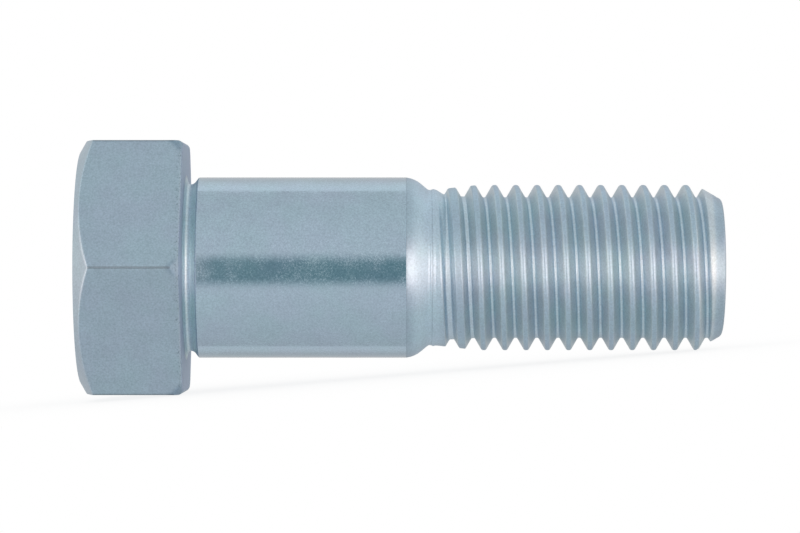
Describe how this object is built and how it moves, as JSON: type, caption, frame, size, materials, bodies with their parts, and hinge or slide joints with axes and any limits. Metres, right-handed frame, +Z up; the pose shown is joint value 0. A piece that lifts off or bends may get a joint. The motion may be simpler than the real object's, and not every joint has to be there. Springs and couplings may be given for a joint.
{
  "type": "hex fitted bolt",
  "caption": "Hexagon head bolt with a ground fit shank, a relief groove under the head and a rolled thread with a chamfered point, in zinc-plated steel.",
  "frame": {"origin": "on the surface that the bolt lies on, below the middle of its bounding box", "axes": "+X from the head to the threaded end along the lying bolt, +Y across it, +Z up; the bolt's axis dips 4.8 degrees towards +X, because it rests on a flat of its head and on its thread"},
  "size_m": [0.0616, 0.0274, 0.0244],
  "materials": {
    "zinc_plated_steel": "bright zinc plating with a blue passivation, smooth on the ground shank and slightly rougher elsewhere"
  },
  "bodies": {
    "root": {"fitted_bolt": "zinc_plated_steel"}
  },
  "joints": []
}
